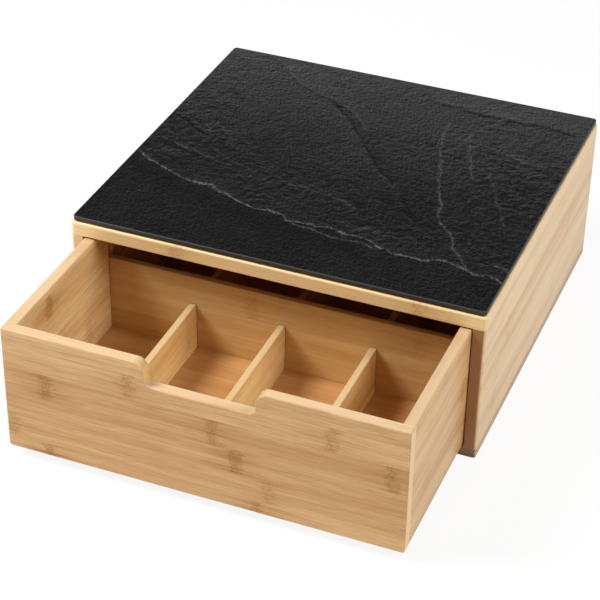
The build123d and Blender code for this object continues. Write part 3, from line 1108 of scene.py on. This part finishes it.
def seen_directly(tree):
    """1 for rays from the camera, from gloss and through glass, and 0 for diffuse light."""
    path = add(tree, "ShaderNodeLightPath").outputs
    gloss = calc(tree, "MAXIMUM", path["Is Glossy Ray"], path["Is Transmission Ray"])
    return calc(tree, "MAXIMUM", path["Is Camera Ray"], gloss)


def floor_material(settings):
    """A pale floor that mostly shows as white, and keeps a faint shadow of the box."""
    material, tree, shader = new_material("studio_floor")
    put(tree, shader.inputs["Base Color"], opaque(settings.floor_colour))
    shader.inputs["Roughness"].default_value = 0.9
    shader.inputs["Specular IOR Level"].default_value = 0.0
    white = add(tree, "ShaderNodeEmission", {"Color": (1, 1, 1, 1), "Strength": 1.0})
    share = calc(tree, "MULTIPLY", seen_directly(tree), FLOOR_WHITE)
    both = add(tree, "ShaderNodeMixShader")
    put(tree, both.inputs[0], share)
    put(tree, both.inputs[1], shader.outputs[0])
    put(tree, both.inputs[2], white.outputs[0])
    output = next(made for made in tree.nodes if made.type == "OUTPUT_MATERIAL")
    put(tree, output.inputs[0], both.outputs[0])
    return material


class Studio(bpy.types.Operator):
    """Make the floor, the lamps and the camera"""

    bl_idname = "drawer_box.studio"
    bl_label = "Studio"

    def execute(self, context):
        settings = context.scene.drawer_box_studio
        half = settings.floor_side / 2
        mesh = bpy.data.meshes.new("studio_floor")
        corners = [(-half, -half, 0), (half, -half, 0), (half, half, 0), (-half, half, 0)]
        mesh.from_pydata(corners, [], [(0, 1, 2, 3)])
        mesh.materials.append(floor_material(settings))
        floor = bpy.data.objects.new("studio_floor", mesh)
        context.scene.collection.objects.link(floor)

        world = context.scene.world or bpy.data.worlds.new("studio")
        context.scene.world = world
        world.use_nodes = True
        tree = world.node_tree
        tree.nodes.clear()
        strength = calc(tree, "ADD", settings.sky,
                        calc(tree, "MULTIPLY", seen_directly(tree), 1.0 - settings.sky))
        light = add(tree, "ShaderNodeBackground", {"Color": (1, 1, 1, 1), "Strength": strength})
        output = tree.nodes.new("ShaderNodeOutputWorld")
        put(tree, output.inputs[0], light.outputs[0])

        for name, (power, side, place) in LAMPS.items():
            lamp(name, getattr(settings, power), side, place)

        data = bpy.data.cameras.new("camera")
        data.sensor_width = 36.0
        data.lens = settings.lens
        data.clip_start = 0.05
        data.clip_end = 50.0
        camera = bpy.data.objects.new("camera", data)
        context.scene.collection.objects.link(camera)
        camera.matrix_world = camera_matrix()
        context.scene.camera = camera
        context.scene.view_settings.view_transform = "Standard"
        return {"FINISHED"}


# ------------------------ panel and main


class DrawerBoxPanel(bpy.types.Panel):
    """The box's pieces and settings"""

    bl_idname = "VIEW3D_PT_drawer_box"
    bl_label = "Drawer box"
    bl_space_type = "VIEW_3D"
    bl_region_type = "UI"
    bl_category = "Drawer box"

    def draw(self, context):
        for operator in OPERATORS:
            self.layout.operator(operator.bl_idname)
        for name in SETTINGS:
            group = getattr(context.scene, name)
            box = self.layout.box()
            for key in group.__annotations__:
                box.prop(group, key)


SETTINGS = {
    "drawer_box_slate": SlateSettings,
    "drawer_box_bamboo": BambooSettings,
    "drawer_box_studio": StudioSettings,
}
OPERATORS = (SlatePlate, BambooCase, BambooDrawer, BambooDividers, PadsAndDowels, Studio)
CLASSES = (*SETTINGS.values(), *OPERATORS, DrawerBoxPanel)


def register():
    for each in CLASSES:
        bpy.utils.register_class(each)
    for name, group in SETTINGS.items():
        setattr(bpy.types.Scene, name, bpy.props.PointerProperty(type=group))


def unregister():
    for name in SETTINGS:
        delattr(bpy.types.Scene, name)
    for each in reversed(CLASSES):
        bpy.utils.unregister_class(each)


def main():
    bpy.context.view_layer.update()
    register()
    build_arris_group()
    build_bamboo_group()
    bpy.ops.drawer_box.slate_plate()
    bpy.ops.drawer_box.case()
    bpy.ops.drawer_box.drawer()
    bpy.ops.drawer_box.dividers()
    bpy.ops.drawer_box.pads_and_dowels()
    bpy.ops.drawer_box.studio()


if __name__ == "__main__":
    main()
